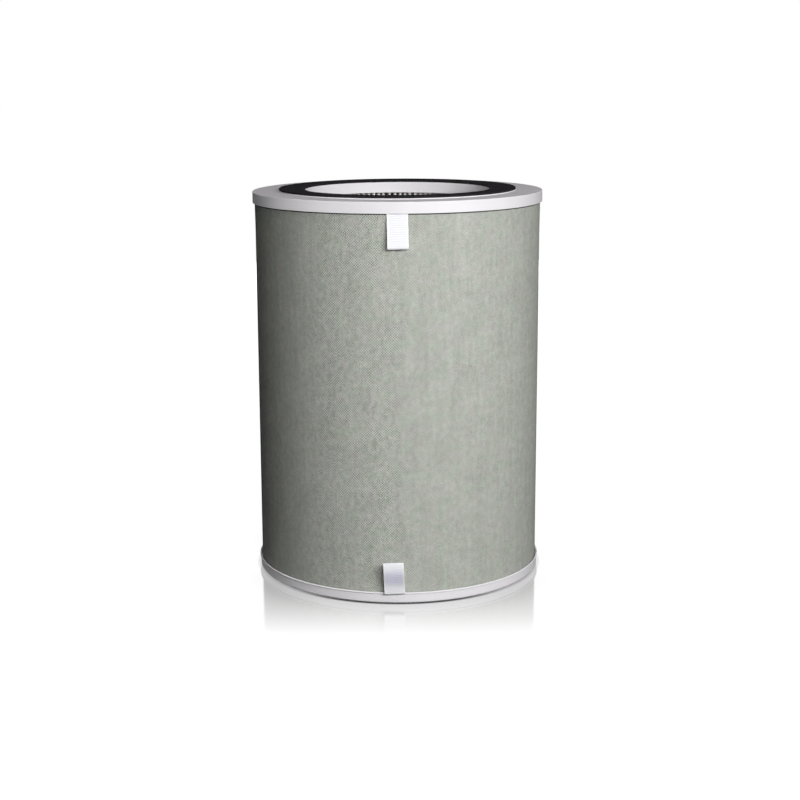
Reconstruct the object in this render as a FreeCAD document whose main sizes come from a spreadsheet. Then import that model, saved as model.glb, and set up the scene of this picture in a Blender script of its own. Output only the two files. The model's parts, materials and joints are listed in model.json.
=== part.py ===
import FreeCAD, Part
import math
import os

import Sketcher
from FreeCAD import Rotation, Vector

# Round replacement filter cartridge: a pleated media pack with a carbon sleeve and a fabric
# wrap round it, held between two moulded end caps. The air goes in all round and leaves
# through the bore of the top cap. Millimetres, +Z up, origin at the centre of the base,
# front at -Y.

# Driving sizes: alias, value and what it is.
SIZES = [
    ("body_height", 366.0, "floor to the flat top of the top cap"),
    ("cap_diameter", 275.0, "outside of both end caps"),
    ("cap_wall", 1.5, "upright wall of the caps"),
    ("cap_web", 2.0, "flat web of the caps"),
    ("cap_edge", 0.6, "broken edge round the caps"),
    ("top_rim_height", 10.1, "outer wall of the top cap"),
    ("bottom_rim_height", 10.4, "outer wall of the bottom cap"),
    ("bore_diameter", 175.0, "air outlet through the top cap"),
    ("collar_wall", 1.8, "collar round the bore"),
    ("collar_depth", 11.2, "collar, from the gasket seat down"),
    ("seat_height", 0.8, "gasket seat above the web"),
    ("seat_width", 25.0, "gasket seat, from the bore outwards"),
    ("gasket_thickness", 1.0, "foam alone"),
    ("gasket_margin", 0.3, "gasket inside each edge of its seat"),
    ("tape_thickness", 0.2, "adhesive tape under the gasket"),
    ("foot_width", 22.0, "flat ring that the cartridge stands on"),
    ("recess_depth", 1.2, "underside inside the foot ring"),
    ("centre_rise", 5.0, "centre panel of the bottom cap above the floor"),
    ("centre_wall", 4.0, "upright edge of the centre panel"),
    ("rib_count", 8, "stiffening ribs under the centre panel"),
    ("rib_thickness", 1.4, "stiffening ribs"),
    ("rib_setback", 0.8, "ribs and their boss, short of the underside"),
    ("boss_diameter", 24.0, "round boss where the ribs meet"),
    ("potting_depth", 3.0, "hot-melt in the caps"),
    ("potting_clearance", 0.1, "hot-melt to the walls beside it"),
    ("wrap_clearance", 0.8, "fabric wrap to the cap wall, where the ribbons go in"),
    ("wrap_thickness", 0.8, "fabric wrap"),
    ("lap_width", 16.0, "overlap of the wrap at the back"),
    ("lap_thickness", 0.4, "overlap, proud of the wrap"),
    ("layer_clearance", 0.2, "between one layer and the next"),
    ("sleeve_thickness", 4.0, "carbon sleeve"),
    ("sleeve_slit", 0.6, "butt joint of the sleeve at the back"),
    ("joint_clearance", 0.05, "glue and hot-melt in a joint, to each side of it"),
    ("bead_thickness", 0.8, "hot-melt hoops round the pleat tips"),
    ("bead_width", 3.0, "hot-melt hoops, up and down"),
    ("pleat_count", 110, "pleats round the pack"),
    ("pleat_clearance", 1.9, "pleat tips to the collar"),
    ("media_thickness", 0.6, "filter paper"),
    ("inner_fold_width", 2.4, "fold that faces the bore"),
    ("outer_fold_width", 3.0, "fold that faces the sleeve"),
    ("seam_depth", 8.0, "hot-melt seam between the first and last pleat"),
    ("seam_clearance", 0.1, "hot-melt seam to the paper"),
    ("ribbon_width", 19.0, "pull ribbons"),
    ("ribbon_thickness", 0.4, "one leaf of ribbon"),
    ("tail_clearance", 0.1, "ribbon tail to the wrap"),
    ("glue_width", 12.0, "dab of glue on each ribbon tail"),
    ("glue_height", 2.5, "dab of glue, up and down"),
    ("glue_offset", 0.8, "dab of glue, from the hot-melt of its cap"),
    ("tab_length", 31.0, "ribbon loop, from its pivot to its fold"),
    ("tab_root_thickness", 1.0, "ribbon loop where it leaves the cap"),
    ("tab_fold_radius", 1.5, "outside of the fold at the loop's end"),
    ("tab_root_gap", 0.3, "loop to its pivot"),
    ("pivot_out", 0.6, "pivots outside the cap wall"),
    ("pivot_off", 0.4, "pivots off the edge of the cap wall"),
    ("bottom_tab_shift", 3.0, "bottom ribbon to the left of the middle"),
    ("bottom_tab_lean", 6.0, "bottom loop from upright, in degrees"),
]
BEAD_COUNT = 3

doc = FreeCAD.newDocument("filter_cartridge")
sheet = doc.addObject("Spreadsheet::Sheet", "Sizes")
for row, (alias, value, meaning) in enumerate(SIZES, start=1):
    sheet.set(f"A{row}", meaning)
    sheet.set(f"B{row}", str(value))
    sheet.setAlias(f"B{row}", alias)
doc.recompute()

# Places that several pieces share, worked out from the sheet, from the outside inwards.
cap_radius = "Sizes.cap_diameter / 2"
wall_inside = f"{cap_radius} - Sizes.cap_wall"
wrap_outside = f"{wall_inside} - Sizes.wrap_clearance"
wrap_inside = f"{wrap_outside} - Sizes.wrap_thickness"
sleeve_outside = f"{wrap_inside} - Sizes.layer_clearance"
sleeve_inside = f"{sleeve_outside} - Sizes.sleeve_thickness"
bead_outside = f"{sleeve_inside} - Sizes.layer_clearance"
bead_inside = f"{bead_outside} - Sizes.bead_thickness"
pleat_outside = f"{bead_inside} - Sizes.layer_clearance"
bore_radius = "Sizes.bore_diameter / 2"
collar_outside = f"{bore_radius} + Sizes.collar_wall"
pleat_inside = f"{collar_outside} + Sizes.pleat_clearance"
seat_radius = f"{bore_radius} + Sizes.seat_width"

# Heights, from the floor upwards. The pack, the sleeve and the wrap stand between the
# hot-melt of the two caps.
bottom_web_top = "Sizes.recess_depth + Sizes.cap_web"
pack_bottom = f"{bottom_web_top} + Sizes.potting_depth"
top_rim_edge = "Sizes.body_height - Sizes.top_rim_height"
top_web_under = "Sizes.body_height - Sizes.cap_web"
pack_top = f"{top_web_under} - Sizes.potting_depth"
pack_height = f"{pack_top} - ({pack_bottom})"
seat_top = "Sizes.body_height + Sizes.seat_height"
gasket_bottom = f"{seat_top} + Sizes.tape_thickness"

half_pitch = "180 deg / Sizes.pleat_count"
media = "Sizes.media_thickness"

OVERRUN = "1.0"  # how far a cut runs past the faces that it opens through

pieces = []


def new_body(label):
    """A sub-part; its label is the name of its file."""
    body = doc.addObject("PartDesign::Body", label)
    body.Label = label
    pieces.append(body)
    return body


def origin_feature(body, role):
    """One of the body's own origin planes or axes."""
    for feature in body.Origin.OriginFeatures:
        if feature.Role == role:
            return feature
    raise ValueError(role)


def new_sketch(body, name, plane):
    sketch = body.newObject("Sketcher::SketchObject", name)
    sketch.AttachmentSupport = (origin_feature(body, plane), [""])
    sketch.MapMode = "FlatFace"
    return sketch


def bind(sketch, kind, expression, *where):
    """A dimension of the sketch that follows the sheet."""
    index = sketch.addConstraint(Sketcher.Constraint(kind, *where))
    sketch.setExpression(f"Constraints[{index}]", expression)


def outline(body, name, plane, corners):
    """A closed outline of straight edges; each corner is a pair of expressions.

    An empty expression puts the corner on the axis of the sketch.
    """
    sketch = new_sketch(body, name, plane)
    count = len(corners)
    turn = 2 * math.pi / count
    rough = [
        Vector(200 - 100 * math.cos(i * turn), 200 - 100 * math.sin(i * turn), 0)
        for i in range(count)
    ]
    for i in range(count):
        sketch.addGeometry(Part.LineSegment(rough[i], rough[(i + 1) % count]))
    for i in range(count):
        sketch.addConstraint(
            Sketcher.Constraint("Coincident", i, 2, (i + 1) % count, 1)
        )
    for i, (across, up) in enumerate(corners):
        if across:
            bind(sketch, "DistanceX", across, -1, 1, i, 1, rough[i].x)
        else:
            sketch.addConstraint(Sketcher.Constraint("PointOnObject", i, 1, -2))
        if up:
            bind(sketch, "DistanceY", up, -1, 1, i, 1, rough[i].y)
        else:
            sketch.addConstraint(Sketcher.Constraint("PointOnObject", i, 1, -1))
    return sketch


def revolved(label, corners):
    """A piece turned about Z from its half section."""
    body = new_body(label)
    section = outline(body, label + "_section", "XZ_Plane", corners)
    turn = body.newObject("PartDesign::Revolution", label + "_turn")
    turn.Profile = section
    turn.ReferenceAxis = (section, ["V_Axis"])
    turn.Angle = 360
    return body


def circles(sketch, *radii):
    """Circles about the sketch's origin, the largest first."""
    for order, radius in enumerate(radii):
        rough = 200.0 / (order + 1)
        circle = sketch.addGeometry(Part.Circle(Vector(), Vector(0, 0, 1), rough))
        sketch.addConstraint(Sketcher.Constraint("Coincident", circle, 3, -1, 1))
        bind(sketch, "Radius", radius, circle, rough)


def ring(label, outside, inside, height, base):
    """A plain tube or flat ring that stands on its base height."""
    body = new_body(label)
    sketch = new_sketch(body, label + "_plan", "XY_Plane")
    circles(sketch, outside, inside)
    pad = body.newObject("PartDesign::Pad", label + "_pad")
    pad.Profile = sketch
    pad.setExpression("Length", height)
    body.Tip = pad
    body.setExpression("Placement.Base.z", base)
    return body


def mirrored_outline(sketch, corners):
    """A closed outline that is symmetric about the sketch's horizontal axis.

    The corners of its upper half are given in order, each as a pair of expressions.
    """
    half = len(corners)
    count = 2 * half
    turn = math.pi / (half + 1)
    rough = [
        Vector(150 - 50 * math.cos(i * turn), 20 * math.sin(i * turn), 0)
        for i in range(1, half + 1)
    ]
    rough += [Vector(point.x, -point.y, 0) for point in reversed(rough)]
    for i in range(count):
        sketch.addGeometry(Part.LineSegment(rough[i], rough[(i + 1) % count]))
    for i in range(count):
        sketch.addConstraint(
            Sketcher.Constraint("Coincident", i, 2, (i + 1) % count, 1)
        )
    for i, (across, up) in enumerate(corners):
        sketch.addConstraint(
            Sketcher.Constraint("Symmetric", i, 1, count - 1 - i, 1, -1)
        )
        bind(sketch, "DistanceX", across, -1, 1, i, 1, rough[i].x)
        bind(sketch, "DistanceY", up, -1, 1, i, 1, rough[i].y)


# --- End caps -------------------------------------------------------------------------


def make_top_cap():
    """Moulded channel ring: rim wall, web, raised gasket seat and the collar of the bore."""
    edge = "Sizes.cap_edge"
    revolved(
        "top_end_cap",
        [
            (wall_inside, top_rim_edge),
            (cap_radius, top_rim_edge),
            (cap_radius, f"Sizes.body_height - {edge}"),
            (f"{cap_radius} - {edge}", "Sizes.body_height"),
            (seat_radius, "Sizes.body_height"),
            (seat_radius, seat_top),
            (bore_radius, seat_top),
            (bore_radius, f"{seat_top} - Sizes.collar_depth"),
            (collar_outside, f"{seat_top} - Sizes.collar_depth"),
            (collar_outside, top_web_under),
            (wall_inside, top_web_under),
        ],
    )


def make_panel_ribs(body, hollow_radius):
    """Ribs that run from a boss to the upright edge of the hollow, under the panel."""
    depth = "Sizes.centre_rise - Sizes.recess_depth - Sizes.rib_setback"
    boss_plan = new_sketch(body, "centre_boss_plan", "XY_Plane")
    circles(boss_plan, "Sizes.boss_diameter / 2")
    rib_plan = new_sketch(body, "panel_rib_plan", "XY_Plane")
    half_rib = "Sizes.rib_thickness / 2"
    mirrored_outline(
        rib_plan,
        [
            ("Sizes.boss_diameter / 4", half_rib),
            (f"{hollow_radius} + Sizes.centre_wall / 2", half_rib),
        ],
    )
    for plan in (boss_plan, rib_plan):
        plan.setExpression("AttachmentOffset.Base.z", "Sizes.centre_rise")
        doc.recompute()
        pad = body.newObject("PartDesign::Pad", plan.Name.replace("_plan", ""))
        pad.Profile = plan
        pad.Reversed = True
        pad.setExpression("Length", depth)
        body.Tip = pad
    doc.recompute()
    pattern = body.newObject("PartDesign::PolarPattern", "panel_ribs")
    pattern.Originals = [pad]
    pattern.Axis = (origin_feature(body, "Z_Axis"), [""])
    pattern.Angle = 360
    pattern.setExpression("Occurrences", "Sizes.rib_count")
    body.Tip = pattern


def make_bottom_cap():
    """Moulded dish that closes the lower end: foot ring, recess and raised centre panel.

    The channel between its rim and the raised panel takes the pack as the top cap does.
    """
    edge = "Sizes.cap_edge"
    foot_inside = f"{cap_radius} - Sizes.foot_width"
    hollow_radius = f"{collar_outside} - Sizes.centre_wall"
    recess_top = "Sizes.recess_depth"
    centre_top = "Sizes.centre_rise + Sizes.cap_web"
    body = revolved(
        "bottom_end_cap",
        [
            ("", "Sizes.centre_rise"),
            (hollow_radius, "Sizes.centre_rise"),
            (hollow_radius, recess_top),
            (foot_inside, recess_top),
            (foot_inside, ""),
            (f"{cap_radius} - {edge}", ""),
            (cap_radius, edge),
            (cap_radius, "Sizes.bottom_rim_height"),
            (wall_inside, "Sizes.bottom_rim_height"),
            (wall_inside, bottom_web_top),
            (collar_outside, bottom_web_top),
            (collar_outside, centre_top),
            ("", centre_top),
        ],
    )
    make_panel_ribs(body, hollow_radius)


# --- Seals and hot-melt ---------------------------------------------------------------


def make_gasket():
    """Foam ring on the gasket seat, with the double-sided tape that holds it."""
    outside = f"{seat_radius} - Sizes.gasket_margin"
    inside = f"{bore_radius} + Sizes.gasket_margin"
    ring("gasket_tape", outside, inside, "Sizes.tape_thickness", seat_top)
    ring("top_gasket", outside, inside, "Sizes.gasket_thickness", gasket_bottom)


def make_potting():
    """Hot-melt in both caps, which seals the ends of the pack, the sleeve and the wrap."""
    outside = f"{wall_inside} - Sizes.potting_clearance"
    inside = f"{collar_outside} + Sizes.potting_clearance"
    depth = "Sizes.potting_depth"
    ring("top_potting", outside, inside, depth, pack_top)
    ring("bottom_potting", outside, inside, depth, bottom_web_top)


# --- Filter layers --------------------------------------------------------------------


def make_pleat_pack():
    """Filter paper folded to and fro round the bore.

    One pleat is drawn about the X axis: half an inner fold, a panel out, the outer fold, a
    panel back and half an inner fold. It is then repeated round the axis, fold to fold.
    """
    body = new_body("pleat_pack")
    sketch = new_sketch(body, "pleat_plan", "XY_Plane")
    reach = f"({pleat_inside})"
    inner_half = "Sizes.inner_fold_width / 2"
    outer_half = "Sizes.outer_fold_width / 2"

    def on_inner_fold(radius, aside):
        """A point of the inner fold, which stands across the radius at half a pitch."""
        return (
            f"({radius}) * cos({half_pitch}) + ({aside}) * sin({half_pitch})",
            f"({radius}) * sin({half_pitch}) - ({aside}) * cos({half_pitch})",
        )

    mirrored_outline(
        sketch,
        [
            (f"{pleat_outside} - {media}", f"{outer_half} - {media}"),
            on_inner_fold(reach, inner_half),
            on_inner_fold(reach, "0"),
            on_inner_fold(f"{reach} + {media}", "0"),
            on_inner_fold(f"{reach} + {media}", f"{inner_half} - {media}"),
            (pleat_outside, outer_half),
        ],
    )
    pad = body.newObject("PartDesign::Pad", "pleat_pad")
    pad.Profile = sketch
    pad.setExpression("Length", pack_height)
    body.Tip = pad
    doc.recompute()
    pattern = body.newObject("PartDesign::PolarPattern", "pleat_pattern")
    pattern.Originals = [pad]
    pattern.Axis = (origin_feature(body, "Z_Axis"), [""])
    pattern.Angle = 360
    pattern.setExpression("Occurrences", "Sizes.pleat_count")
    pattern.Refine = True
    body.Tip = pattern
    body.setExpression("Placement.Base.z", pack_bottom)


def make_pleat_seam():
    """Hot-melt that joins the first and last pleat, down one outer slot at the back."""
    body = new_body("pleat_seam_bead")
    sketch = new_sketch(body, "pleat_seam_plan", "XY_Plane")
    mouth = f"(({pleat_outside}) * tan({half_pitch}) - Sizes.outer_fold_width / 2)"
    end = f"(Sizes.inner_fold_width / 2 - {media})"
    slot_length = f"({pleat_outside} - ({pleat_inside}) - {media})"
    narrowing = f"({mouth} - {end}) / {slot_length} * Sizes.seam_depth"
    clear = "Sizes.seam_clearance"
    mirrored_outline(
        sketch,
        [
            (f"{pleat_outside} - Sizes.seam_depth", f"{mouth} - {narrowing} - {clear}"),
            (f"{pleat_outside} - {clear}", f"{mouth} - {clear}"),
        ],
    )
    pad = body.newObject("PartDesign::Pad", "pleat_seam_pad")
    pad.Profile = sketch
    pad.setExpression("Length", pack_height)
    body.Tip = pad
    body.Placement = FreeCAD.Placement(Vector(), Rotation(Vector(0, 0, 1), 90))
    body.setExpression("Placement.Base.z", pack_bottom)
    body.setExpression(
        "Placement.Rotation.Angle",
        f"(floor(Sizes.pleat_count / 4) + 0.5) * 2 * {half_pitch}",
    )


def make_tip_beads():
    """Hot-melt hoops round the outer folds, which keep the pleats evenly spaced."""
    for number in range(1, BEAD_COUNT + 1):
        middle = f"Sizes.body_height * {number} / {BEAD_COUNT + 1}"
        ring(
            f"tip_bead_{number}",
            bead_outside,
            bead_inside,
            "Sizes.bead_width",
            f"{middle} - Sizes.bead_width / 2",
        )


def make_carbon_sleeve():
    """Carbon-loaded fleece rolled round the pack, its two edges butted at the back."""
    body = ring(
        "carbon_sleeve", sleeve_outside, sleeve_inside, pack_height, pack_bottom
    )
    sketch = new_sketch(body, "sleeve_slit_plan", "XY_Plane")
    half = "Sizes.sleeve_slit / 2"
    mirrored_outline(
        sketch,
        [
            (f"{sleeve_inside} - {OVERRUN}", half),
            (f"{sleeve_outside} + {OVERRUN}", half),
        ],
    )
    cut = body.newObject("PartDesign::Pocket", "sleeve_slit_cut")
    cut.Profile = sketch
    cut.Type = "ThroughAll"
    cut.Reversed = True
    body.Tip = cut
    turn_to_back(body)


def make_sleeve_seam():
    """Hot-melt in the butt joint of the carbon sleeve, over its whole height."""
    body = new_body("sleeve_seam_bead")
    sketch = new_sketch(body, "sleeve_seam_plan", "XY_Plane")
    clear = "Sizes.joint_clearance"
    half = f"Sizes.sleeve_slit / 2 - {clear}"
    mirrored_outline(
        sketch,
        [
            (f"{sleeve_inside} + {clear}", half),
            (f"{sleeve_outside} - {clear}", half),
        ],
    )
    pad = body.newObject("PartDesign::Pad", "sleeve_seam_pad")
    pad.Profile = sketch
    pad.setExpression("Length", pack_height)
    body.Tip = pad
    turn_to_back(body)


def make_outer_wrap():
    """Fabric sheet rolled round the sleeve and lapped over itself at the back."""
    body = ring("outer_wrap", wrap_outside, wrap_inside, pack_height, pack_bottom)
    section = outline(
        body,
        "wrap_lap_section",
        "XZ_Plane",
        [
            (wrap_outside, ""),
            (f"{wrap_outside} + Sizes.lap_thickness", ""),
            (f"{wrap_outside} + Sizes.lap_thickness", pack_height),
            (wrap_outside, pack_height),
        ],
    )
    lap = body.newObject("PartDesign::Revolution", "wrap_lap")
    lap.Profile = section
    lap.ReferenceAxis = (section, ["V_Axis"])
    lap.Midplane = True
    lap.setExpression("Angle", f"Sizes.lap_width / ({wrap_outside}) * 180 deg / pi")
    body.Tip = lap
    turn_to_back(body)


def turn_to_back(body):
    """Turns a piece whose joint was drawn at +X so that the joint is at the back."""
    body.Placement = FreeCAD.Placement(Vector(), Rotation(Vector(0, 0, 1), 90))
    body.setExpression("Placement.Base.z", pack_bottom)


# --- Pull ribbons ---------------------------------------------------------------------

pivot_radius = f"{cap_radius} + Sizes.pivot_out"
tail_inside = f"{wrap_outside} + Sizes.tail_clearance"
tail_outside = f"{tail_inside} + Sizes.ribbon_thickness"


def front_strip(label, inside, outside, low, high, width, shift):
    """A thin strip that follows the round wall at the front of the cartridge."""
    body = new_body(label)
    section = outline(
        body,
        label + "_section",
        "XZ_Plane",
        [(inside, low), (outside, low), (outside, high), (inside, high)],
    )
    turn = body.newObject("PartDesign::Revolution", label + "_turn")
    turn.Profile = section
    turn.ReferenceAxis = (section, ["V_Axis"])
    turn.Midplane = True
    turn.setExpression("Angle", f"{width} / ({inside}) * 180 deg / pi")
    body.Placement = FreeCAD.Placement(Vector(), Rotation(Vector(0, 0, 1), -90))
    body.setExpression(
        "Placement.Rotation.Angle",
        f"-90 deg - {shift} / ({inside}) * 180 deg / pi",
    )


def make_tail(place, low, high, glue_low, shift):
    """The end of a ribbon in the gap between a cap wall and the wrap, and its glue."""
    width = "Sizes.ribbon_width"
    front_strip(
        f"{place}_tab_tail", tail_inside, tail_outside, low, high, width, shift
    )
    clear = "Sizes.joint_clearance"
    front_strip(
        f"{place}_tab_glue",
        f"{tail_outside} + {clear}",
        f"{wall_inside} - {clear}",
        glue_low,
        f"{glue_low} + Sizes.glue_height",
        "Sizes.glue_width",
        shift,
    )


def loop_outline(body, name, root, root_half, reach, fold_radius):
    """A long loop seen from its edge: straight leaves that open towards a round fold."""
    sketch = new_sketch(body, name, "YZ_Plane")
    centre = 28.0
    upper = sketch.addGeometry(
        Part.LineSegment(Vector(1, 0.5, 0), Vector(centre, 2, 0))
    )
    fold = sketch.addGeometry(
        Part.ArcOfCircle(
            Part.Circle(Vector(centre, 0, 0), Vector(0, 0, 1), 2),
            -math.pi / 2,
            math.pi / 2,
        )
    )
    lower = sketch.addGeometry(
        Part.LineSegment(Vector(centre, -2, 0), Vector(1, -0.5, 0))
    )
    end = sketch.addGeometry(Part.LineSegment(Vector(1, -0.5, 0), Vector(1, 0.5, 0)))
    sketch.addConstraint(Sketcher.Constraint("Tangent", upper, 2, fold, 2))
    sketch.addConstraint(Sketcher.Constraint("Tangent", lower, 1, fold, 1))
    sketch.addConstraint(Sketcher.Constraint("Coincident", lower, 2, end, 1))
    sketch.addConstraint(Sketcher.Constraint("Coincident", end, 2, upper, 1))
    sketch.addConstraint(Sketcher.Constraint("Symmetric", upper, 1, lower, 2, -1))
    sketch.addConstraint(Sketcher.Constraint("PointOnObject", fold, 3, -1))
    bind(sketch, "DistanceX", root, -1, 1, upper, 1, 1.0)
    bind(sketch, "DistanceY", f"2 * ({root_half})", lower, 2, upper, 1, 1.0)
    bind(sketch, "Radius", fold_radius, fold, 2.0)
    bind(sketch, "DistanceX", f"{reach} - {fold_radius}", -1, 1, fold, 3, centre)
    return sketch


def make_loop(label, base_z, shift, angle):
    """The free loop of a ribbon, drawn along +Y from its pivot and turned to its place."""
    body = new_body(label)
    root_half = "Sizes.tab_root_thickness / 2"
    leaf = "Sizes.ribbon_thickness"
    outside = loop_outline(
        body,
        label + "_outside",
        "Sizes.tab_root_gap",
        root_half,
        "Sizes.tab_length",
        "Sizes.tab_fold_radius",
    )
    pad = body.newObject("PartDesign::Pad", label + "_pad")
    pad.Profile = outside
    pad.SideType = "Symmetric"
    pad.setExpression("Length", "Sizes.ribbon_width")
    doc.recompute()
    inside = loop_outline(
        body,
        label + "_inside",
        f"Sizes.tab_root_gap + {leaf}",
        f"{root_half} - {leaf}",
        f"(Sizes.tab_length - {leaf})",
        f"(Sizes.tab_fold_radius - {leaf})",
    )
    hollow = body.newObject("PartDesign::Pocket", label + "_hollow")
    hollow.Profile = inside
    hollow.SideType = "Symmetric"
    hollow.Type = "ThroughAll"
    body.Tip = hollow
    body.Placement = FreeCAD.Placement(Vector(), Rotation(Vector(1, 0, 0), 45))
    body.setExpression("Placement.Rotation.Angle", angle)
    body.setExpression("Placement.Base.x", f"-({shift})")
    body.setExpression("Placement.Base.y", f"-({pivot_radius})")
    body.setExpression("Placement.Base.z", base_z)


def make_ribbons():
    """A pull ribbon at each end: a glued tail and a loop that hinges at the cap's edge."""
    middle = "0"
    left = "Sizes.bottom_tab_shift"
    top_glue = f"{pack_top} - Sizes.glue_offset - Sizes.glue_height"
    bottom_glue = f"{pack_bottom} + Sizes.glue_offset"
    make_tail("top", top_rim_edge, pack_top, top_glue, middle)
    make_tail("bottom", pack_bottom, "Sizes.bottom_rim_height", bottom_glue, left)
    make_loop("top_pull_tab", f"{top_rim_edge} - Sizes.pivot_off", middle, "-90 deg")
    make_loop(
        "bottom_pull_tab",
        "Sizes.bottom_rim_height + Sizes.pivot_off",
        left,
        "90 deg + Sizes.bottom_tab_lean * 1 deg",
    )


make_top_cap()
make_bottom_cap()
make_gasket()
make_potting()
make_pleat_pack()
make_pleat_seam()
make_tip_beads()
make_carbon_sleeve()
make_sleeve_seam()
make_outer_wrap()
make_ribbons()
doc.recompute()

# --- Checks and files -----------------------------------------------------------------

for item in doc.Objects:
    if "Invalid" in item.State or "Error" in item.State:
        raise RuntimeError(f"{item.Label} did not build: {item.State}")
for piece in pieces:
    if piece.Shape.isNull() or not piece.Shape.isValid():
        raise RuntimeError(f"{piece.Label} has no sound shape")

os.makedirs("parts", exist_ok=True)
for piece in pieces:
    piece.Shape.exportStep(os.path.join("parts", piece.Label + ".step"))
    print(piece.Label, round(piece.Shape.Volume, 1), piece.Shape.BoundBox)
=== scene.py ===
import json
import math

import bmesh
import bpy
from mathutils import Matrix, Vector, noise


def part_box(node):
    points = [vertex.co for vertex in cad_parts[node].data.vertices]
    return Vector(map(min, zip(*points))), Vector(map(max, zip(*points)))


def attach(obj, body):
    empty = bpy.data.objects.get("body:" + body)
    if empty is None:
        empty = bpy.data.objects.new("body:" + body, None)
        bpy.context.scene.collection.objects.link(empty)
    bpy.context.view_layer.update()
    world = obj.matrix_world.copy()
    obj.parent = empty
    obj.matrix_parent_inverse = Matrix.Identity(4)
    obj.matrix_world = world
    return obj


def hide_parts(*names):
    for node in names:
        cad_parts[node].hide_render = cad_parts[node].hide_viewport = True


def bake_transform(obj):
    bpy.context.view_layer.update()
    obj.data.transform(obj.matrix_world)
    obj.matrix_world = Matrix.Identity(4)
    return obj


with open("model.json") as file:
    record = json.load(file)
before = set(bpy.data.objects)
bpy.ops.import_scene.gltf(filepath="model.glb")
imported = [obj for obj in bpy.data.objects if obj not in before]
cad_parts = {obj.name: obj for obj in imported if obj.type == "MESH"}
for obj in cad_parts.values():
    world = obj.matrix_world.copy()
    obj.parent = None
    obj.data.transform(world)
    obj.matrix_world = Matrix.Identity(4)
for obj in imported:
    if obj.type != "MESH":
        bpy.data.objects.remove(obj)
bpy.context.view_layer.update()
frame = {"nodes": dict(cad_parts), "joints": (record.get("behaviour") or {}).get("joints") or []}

# --- Bottom end cap -------------------------------------------------------------------
# Injection-moulded white polypropylene dish that closes the lower end. It stands on a
# flat foot ring, its wall ends in a small out-turned lip, and its ribbed middle is raised
# so that the closed panel stays stiff.

MM = 0.001
ROUND_STEPS = 288


class Wire:
    """A socket of a finish in ordinary arithmetic: each operator adds its Math node."""

    def __init__(self, finish, socket):
        self.finish = finish
        self.socket = socket

    def maths(self, operation, *values):
        return self.finish.node(
            "ShaderNodeMath", {"operation": operation}, dict(enumerate(values))
        )

    def __add__(self, other):
        return self.maths("ADD", self, other)

    __radd__ = __add__

    def __sub__(self, other):
        return self.maths("SUBTRACT", self, other)

    def __rsub__(self, other):
        return self.maths("SUBTRACT", other, self)

    def __mul__(self, other):
        return self.maths("MULTIPLY", self, other)

    __rmul__ = __mul__

    def __pow__(self, other):
        return self.maths("POWER", self, other)

    def __abs__(self):
        return self.maths("ABSOLUTE", self)

    def cosine(self):
        return self.maths("COSINE", self)


class Finish:
    """A procedural material: its node tree with the Principled surface at its end."""

    def __init__(self, name):
        self.material = bpy.data.materials.new(name)
        self.material.use_nodes = True
        self.tree = self.material.node_tree
        self.surface = self.tree.nodes["Principled BSDF"]

    def node(self, kind, settings, inputs, output=0):
        """Adds a node: its settings first, then the values or wires of its sockets."""
        made = self.tree.nodes.new(kind)
        for name, value in settings.items():
            setattr(made, name, value)
        for socket, value in inputs.items():
            self.feed(made.inputs[socket], value)
        return Wire(self, made.outputs[output])

    def feed(self, socket, value):
        if isinstance(value, Wire):
            self.tree.links.new(value.socket, socket)
        else:
            socket.default_value = value

    def set(self, **sockets):
        for name, value in sockets.items():
            self.feed(self.surface.inputs[name.replace("_", " ")], value)

    def place(self):
        """Where a point is on the object, in metres."""
        return self.node("ShaderNodeTexCoord", {}, {}, "Object")

    def on_cloth(self):
        """Where a point is on the flat cloth, in metres: the place, across and along."""
        place = self.node("ShaderNodeUVMap", {"uv_map": "cut"}, {})
        across = self.node("ShaderNodeSeparateXYZ", {}, {"Vector": place}, "X")
        along = self.node("ShaderNodeSeparateXYZ", {}, {"Vector": place}, "Y")
        return place, across, along

    def stretched(self, place, scale):
        return self.node(
            "ShaderNodeMapping", {"vector_type": "POINT"}, {"Vector": place, "Scale": scale}
        )

    def cloud(self, place, scale, detail=2.0, roughness=0.5):
        return self.node(
            "ShaderNodeTexNoise",
            {"noise_dimensions": "3D"},
            {"Vector": place, "Scale": scale, "Detail": detail, "Roughness": roughness},
        )

    def ramp(self, wire, low, high):
        """0 below low and 1 above high, with a soft step between."""
        return self.node(
            "ShaderNodeMapRange",
            {"interpolation_type": "SMOOTHSTEP"},
            {"Value": wire, "From Min": low, "From Max": high},
        )

    def blend(self, share, first, second):
        return self.node(
            "ShaderNodeMix",
            {"data_type": "RGBA"},
            {0: share, 6: (*first, 1) if isinstance(first, tuple) else first,
             7: (*second, 1) if isinstance(second, tuple) else second},
            2,
        )

    def relief(self, height, depth, strength=1.0):
        self.set(
            Normal=self.node(
                "ShaderNodeBump",
                {},
                {"Height": height, "Distance": depth, "Strength": strength},
            )
        )


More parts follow.
